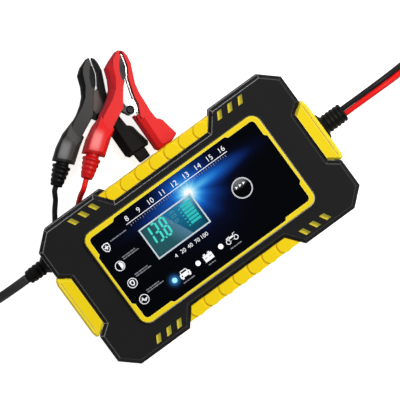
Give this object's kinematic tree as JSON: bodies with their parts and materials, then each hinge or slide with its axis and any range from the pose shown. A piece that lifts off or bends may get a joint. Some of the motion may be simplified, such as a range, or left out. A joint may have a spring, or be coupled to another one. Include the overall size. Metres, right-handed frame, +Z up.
{
  "type": "car battery charger",
  "caption": "Pulse charger for 12 V batteries: yellow case with black corner guards, display panel and push button, mains cord with plug, twin output lead with black and red spring clamps.",
  "frame": {"origin": "centre of the footprint of the case, on the floor under its rubber feet", "axes": "+X along the case towards the output lead, +Y across the case towards the clamps, +Z up out of the panel"},
  "size_m": [0.4198, 0.1499, 0.0485],
  "materials": {
    "yellow_shell": "semi-gloss moulded ABS",
    "black_guard": "fine matt texture",
    "zinc_steel": "zinc plated",
    "foot_rubber": "matt",
    "panel_gloss": "printed glossy film",
    "display_window": "clear window",
    "display_cell": "lit display cell",
    "white_plastic": "satin",
    "ring_metal": "polished",
    "button_gloss": "gloss",
    "component_black": "satin",
    "blue_light": "lit",
    "white_pipe": "milky",
    "circuit_board": "solder mask",
    "ferrite": "sintered",
    "winding_tape": "tape",
    "heatsink_aluminium": "extruded",
    "capacitor_sleeve": "shrunk sleeve",
    "copper_winding": "enamelled wire",
    "fuse_glass": "glass tube",
    "terminal_green": "satin",
    "tail_blue": "insulation",
    "black_relief": "satin",
    "black_cord": "satin",
    "black_wire": "satin",
    "red_wire": "satin",
    "black_cover": "satin gloss",
    "red_cover": "gloss",
    "jaw_steel": "nickel plated",
    "rivet_steel": "plated",
    "spring_steel": "blackened",
    "black_sleeve": "satin",
    "red_sleeve": "satin",
    "pin_metal": "nickel plated"
  },
  "bodies": {
    "charger": {"rear_shell": "yellow_shell", "front_shell": "yellow_shell", "rear_guard": "black_guard", "front_guard": "black_guard", "case_screws": "zinc_steel", "feet": "foot_rubber", "panel_overlay": "panel_gloss", "lcd_lens": "display_window", "lcd_glass": "display_cell", "lcd_backlight": "white_plastic", "button_ring": "ring_metal", "switch_body": "component_black", "led_lit": "blue_light", "led_dark": "white_pipe", "display_board": "circuit_board", "main_board": "circuit_board", "board_screws": "zinc_steel", "transformer_core": "ferrite", "transformer_coil": "winding_tape", "heatsink": "heatsink_aluminium", "power_devices": "component_black", "bulk_capacitors": "capacitor_sleeve", "small_capacitors": "capacitor_sleeve", "choke": "copper_winding", "fuse": "fuse_glass", "terminal_blocks": "terminal_green", "board_link": "component_black", "mains_tails": "tail_blue", "output_tails": "red_wire", "mains_relief": "black_relief", "mains_cord": "black_cord", "mains_coil": "black_cord", "mains_cord_end": "black_cord", "plug_body": "black_relief", "plug_pins": "pin_metal", "output_relief": "black_relief", "lead_black": "black_wire", "lead_red": "red_wire", "black_fixed_cover": "black_cover", "black_fixed_jaw": "jaw_steel", "black_rivet": "rivet_steel", "black_spring": "spring_steel", "black_sleeve": "black_sleeve", "red_fixed_cover": "red_cover", "red_fixed_jaw": "jaw_steel", "red_rivet": "rivet_steel", "red_spring": "spring_steel", "red_sleeve": "red_sleeve"},
    "button": {"mode_button": "button_gloss", "switch_plunger": "ring_metal"},
    "black_clamp_half": {"black_moving_cover": "black_cover", "black_moving_jaw": "jaw_steel"},
    "red_clamp_half": {"red_moving_cover": "red_cover", "red_moving_jaw": "jaw_steel"}
  },
  "joints": [
    {"name": "button_press", "type": "slide", "parent": "charger", "child": "button", "axis": [0, 0, -1], "range_m": [0, 0.0007], "stiffness_N_per_m": 900, "springref_m": -0.001},
    {"name": "black_clamp_open", "type": "hinge", "parent": "charger", "child": "black_clamp_half", "pos_m": [-0.01139, 0.075, 0.00542], "axis": [-0.0652, -0.0199, -0.9977], "range_deg": [0, 25], "stiffness_Nm_per_rad": 0.35, "springref_deg": -28.65, "deforming": ["black_spring"]},
    {"name": "red_clamp_open", "type": "hinge", "parent": "charger", "child": "red_clamp_half", "pos_m": [0.00395, 0.0688, 0.0136], "axis": [-0.2147, 0, -0.9767], "range_deg": [0, 25], "stiffness_Nm_per_rad": 0.35, "springref_deg": -28.65, "deforming": ["red_spring"]}
  ]
}
